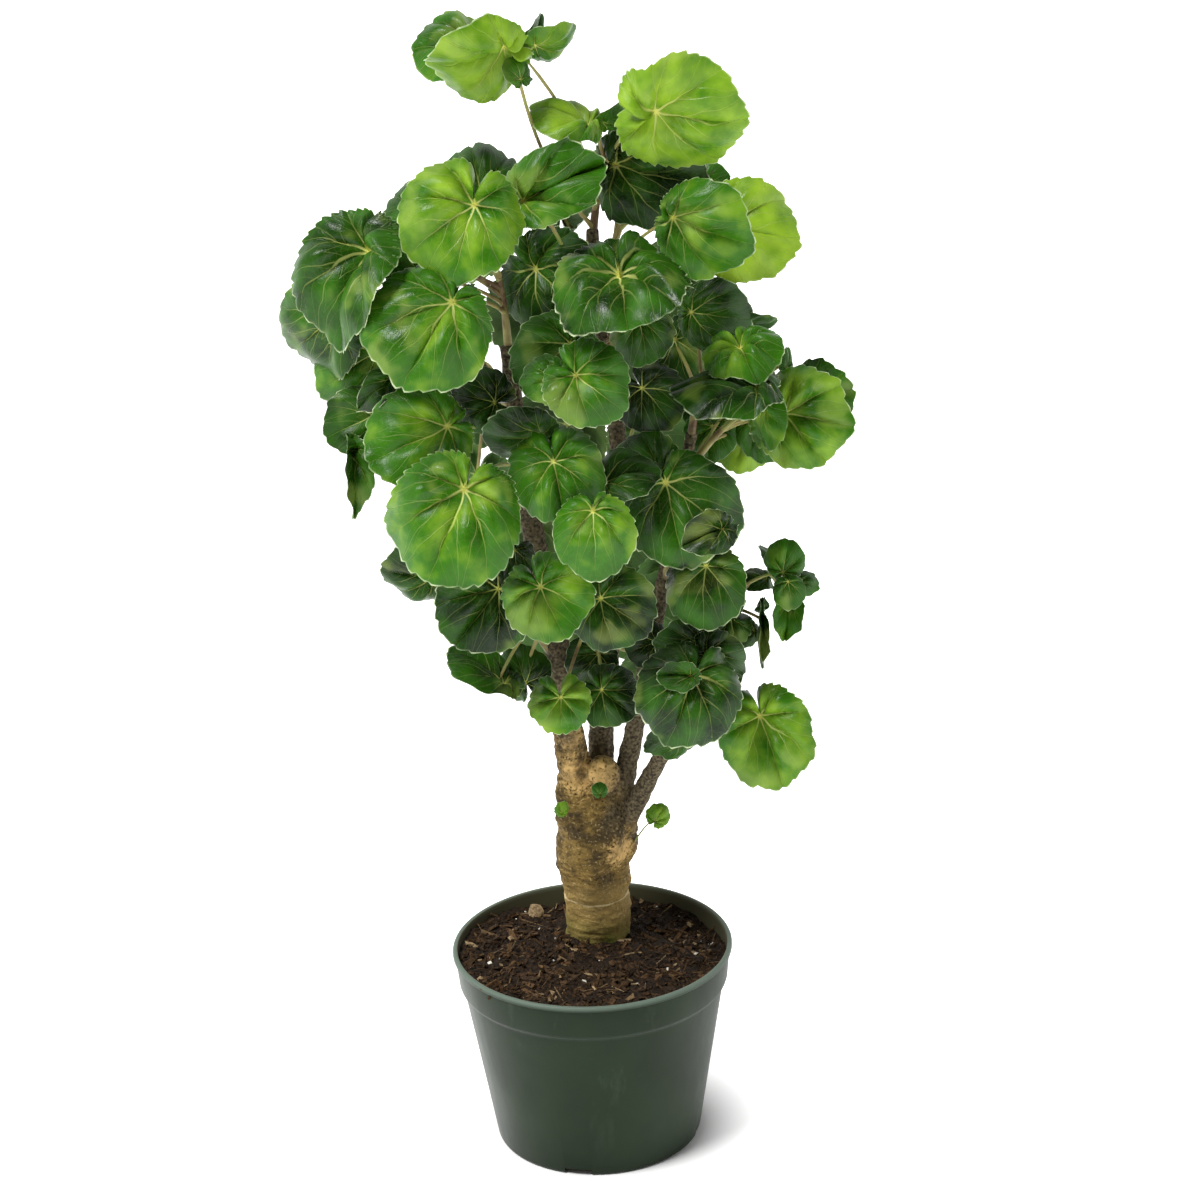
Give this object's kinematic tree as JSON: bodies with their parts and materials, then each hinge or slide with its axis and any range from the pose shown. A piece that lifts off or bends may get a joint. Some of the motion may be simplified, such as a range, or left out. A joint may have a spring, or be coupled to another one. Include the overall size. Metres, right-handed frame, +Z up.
{
  "type": "potted balfour aralia",
  "caption": "Small woody houseplant with round scalloped leaves on a gnarled branching trunk, in a plain nursery pot.",
  "frame": {"origin": "centre of the pot's underside, on the surface that it stands on", "axes": "+Z up, -Y towards the front that the picture shows, +X to the right as seen from the front"},
  "size_m": [0.3919, 0.2936, 0.8359],
  "materials": {
    "pot": "matte moulded plastic, dark green",
    "soil": "loose bark and peat mix, dark brown",
    "bark": "rough bark, tan and grey brown",
    "leaf": "waxy leaf, satin to glossy, with pale veins"
  },
  "bodies": {
    "root": {"pot": "pot", "soil": "soil", "trunk": "bark", "shoot_crown_top": "leaf", "shoot_crown_right": "leaf", "shoot_crown_left": "leaf", "shoot_left_top": "leaf", "shoot_left_side": "leaf", "shoot_left_middle": "leaf", "shoot_left_low": "leaf", "shoot_front_top": "leaf", "shoot_front_middle": "leaf", "shoot_front_low": "leaf", "shoot_right_top": "leaf", "shoot_right_far": "leaf", "shoot_right_middle": "leaf", "shoot_low_right": "leaf", "shoot_low_front": "leaf", "shoot_low_side": "leaf", "shoot_right_side": "leaf", "shoot_back_top": "leaf", "shoot_back_left": "leaf", "shoot_back_middle": "leaf", "shoot_back_right": "leaf", "shoot_back_low": "leaf", "sprout_left": "leaf", "sprout_middle": "leaf", "sprout_right": "leaf"}
  },
  "joints": []
}
